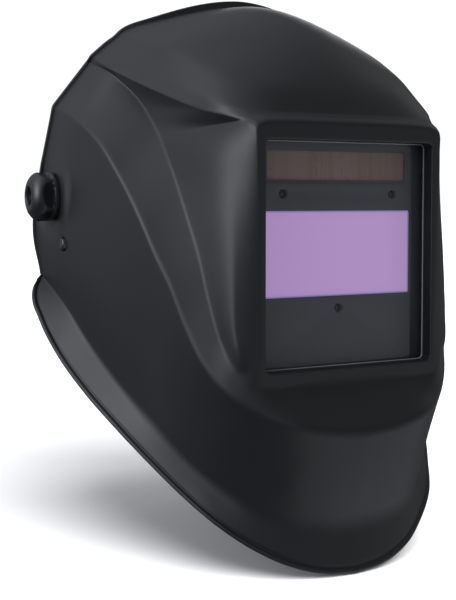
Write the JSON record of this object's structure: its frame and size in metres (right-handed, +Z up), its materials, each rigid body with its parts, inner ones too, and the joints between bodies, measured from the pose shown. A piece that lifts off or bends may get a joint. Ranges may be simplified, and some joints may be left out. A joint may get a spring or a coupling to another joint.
{
  "type": "welding helmet",
  "caption": "Flip-up welding helmet: thin black moulded shell with a window box, auto-darkening filter behind a clear cover lens, and ratchet headgear on two tension knobs.",
  "frame": {"origin": "on the pivot axis, midway between the two tension knobs", "axes": "+Z up, -Y the way the wearer faces, X along the pivot axis with +X towards the wearer's left"},
  "size_m": [0.2668, 0.3074, 0.3283],
  "materials": {
    "shell_nylon": "satin",
    "black_plastic": "fine grain",
    "knob_nylon": "satin",
    "clear_lens": "clear polycarbonate",
    "gasket_rubber": "matte",
    "filter_grey": "satin",
    "lcd_purple": "polished",
    "solar_brown": "striated",
    "sensor_dark": "glossy",
    "board_green": "solder mask",
    "red_plastic": "satin",
    "steel": "brushed",
    "washer_grey": "satin",
    "band_plastic": "fine grain",
    "soft_fabric": "woven",
    "brass": "worn"
  },
  "bodies": {
    "helmet_shell": {"shell": "shell_nylon", "cover_lens": "clear_lens", "lens_gasket": "gasket_rubber", "lens_carrier": "black_plastic", "filter_front": "filter_grey", "filter_rear": "black_plastic", "solar_cell": "solar_brown", "lcd_filter": "lcd_purple", "arc_sensors": "sensor_dark", "circuit_board": "board_green", "inner_lens": "clear_lens", "filter_screws": "steel", "friction_washers": "washer_grey", "stop_lever": "steel"},
    "latch_left": {"carrier_latch_l": "red_plastic"},
    "latch_right": {"carrier_latch_r": "red_plastic"},
    "battery_left": {"battery_tray_l": "red_plastic", "coin_cell_l": "steel"},
    "battery_right": {"battery_tray_r": "red_plastic", "coin_cell_r": "steel"},
    "dial_shade": {"shade_dial": "black_plastic"},
    "dial_sensitivity": {"sensitivity_dial": "black_plastic"},
    "dial_delay": {"delay_dial": "black_plastic"},
    "button_test": {"test_button": "red_plastic"},
    "pivot_carrier": {"pivot_studs": "steel", "slide_blocks": "band_plastic", "outer_washers": "washer_grey"},
    "tension_knob_left": {"knob_l": "knob_nylon"},
    "tension_knob_right": {"knob_r": "knob_nylon"},
    "headgear": {"side_plates": "band_plastic", "headband_front": "band_plastic", "sweatband": "soft_fabric", "crown_straps_l": "band_plastic", "crown_straps_r": "band_plastic", "strap_pins": "washer_grey", "band_rivets": "steel", "ratchet_housing": "black_plastic", "ratchet_cover": "black_plastic", "detent_spring": "steel", "rear_pad": "soft_fabric"},
    "rear_band_left": {"rear_band_l": "band_plastic"},
    "rear_band_right": {"rear_band_r": "band_plastic"},
    "ratchet": {"ratchet_knob": "knob_nylon", "pinion": "brass"}
  },
  "joints": [
    {"name": "helmet_flip", "type": "hinge", "parent": "helmet_shell", "child": "pivot_carrier", "pos_m": [0, 0, 0], "axis": [1, 0, 0], "range_deg": [0, 70]},
    {"name": "tension_left", "type": "hinge", "parent": "pivot_carrier", "child": "tension_knob_left", "pos_m": [0.126, 0, 0], "axis": [1, 0, 0], "continuous": true},
    {"name": "tension_right", "type": "hinge", "parent": "pivot_carrier", "child": "tension_knob_right", "pos_m": [-0.126, 0, 0], "axis": [1, 0, 0], "continuous": true},
    {"name": "headgear_fore_aft", "type": "slide", "parent": "pivot_carrier", "child": "headgear", "axis": [0, 1, 0], "range_m": [-0.01, 0.01]},
    {"name": "ratchet_turn", "type": "hinge", "parent": "headgear", "child": "ratchet", "pos_m": [0, 0.125, -0.014], "axis": [0, 1, 0], "range_deg": [-70, 70]},
    {"name": "band_left_slide", "type": "hinge", "parent": "headgear", "child": "rear_band_left", "pos_m": [0, 0.033, -0.014], "axis": [0, 0, 1], "range_deg": [-5, 5]},
    {"name": "band_right_slide", "type": "hinge", "parent": "headgear", "child": "rear_band_right", "pos_m": [0, 0.033, -0.014], "axis": [0, 0, 1], "range_deg": [-5, 5]},
    {"name": "shade_turn", "type": "hinge", "parent": "helmet_shell", "child": "dial_shade", "pos_m": [0, -0.122, -0.079], "axis": [0, 1, 0], "range_deg": [-135, 135]},
    {"name": "sensitivity_turn", "type": "hinge", "parent": "helmet_shell", "child": "dial_sensitivity", "pos_m": [-0.031, -0.122, -0.079], "axis": [0, 1, 0], "range_deg": [-135, 135]},
    {"name": "delay_turn", "type": "hinge", "parent": "helmet_shell", "child": "dial_delay", "pos_m": [0.031, -0.122, -0.079], "axis": [0, 1, 0], "range_deg": [-135, 135]},
    {"name": "test_press", "type": "slide", "parent": "helmet_shell", "child": "button_test", "axis": [0, -1, 0], "range_m": [0, 0.001], "stiffness_N_per_m": 400},
    {"name": "battery_left_slide", "type": "slide", "parent": "helmet_shell", "child": "battery_left", "axis": [0, 0, 1], "range_m": [0, 0.026]},
    {"name": "battery_right_slide", "type": "slide", "parent": "helmet_shell", "child": "battery_right", "axis": [0, 0, 1], "range_m": [0, 0.026]},
    {"name": "latch_left_slide", "type": "slide", "parent": "helmet_shell", "child": "latch_left", "axis": [1, 0, 0], "range_m": [0, 0.004]},
    {"name": "latch_right_slide", "type": "slide", "parent": "helmet_shell", "child": "latch_right", "axis": [-1, 0, 0], "range_m": [0, 0.004]}
  ],
  "couplings": [
    {"joint": "band_left_slide", "follows": "ratchet_turn", "ratio": 0.071429},
    {"joint": "band_right_slide", "follows": "ratchet_turn", "ratio": -0.071429}
  ]
}
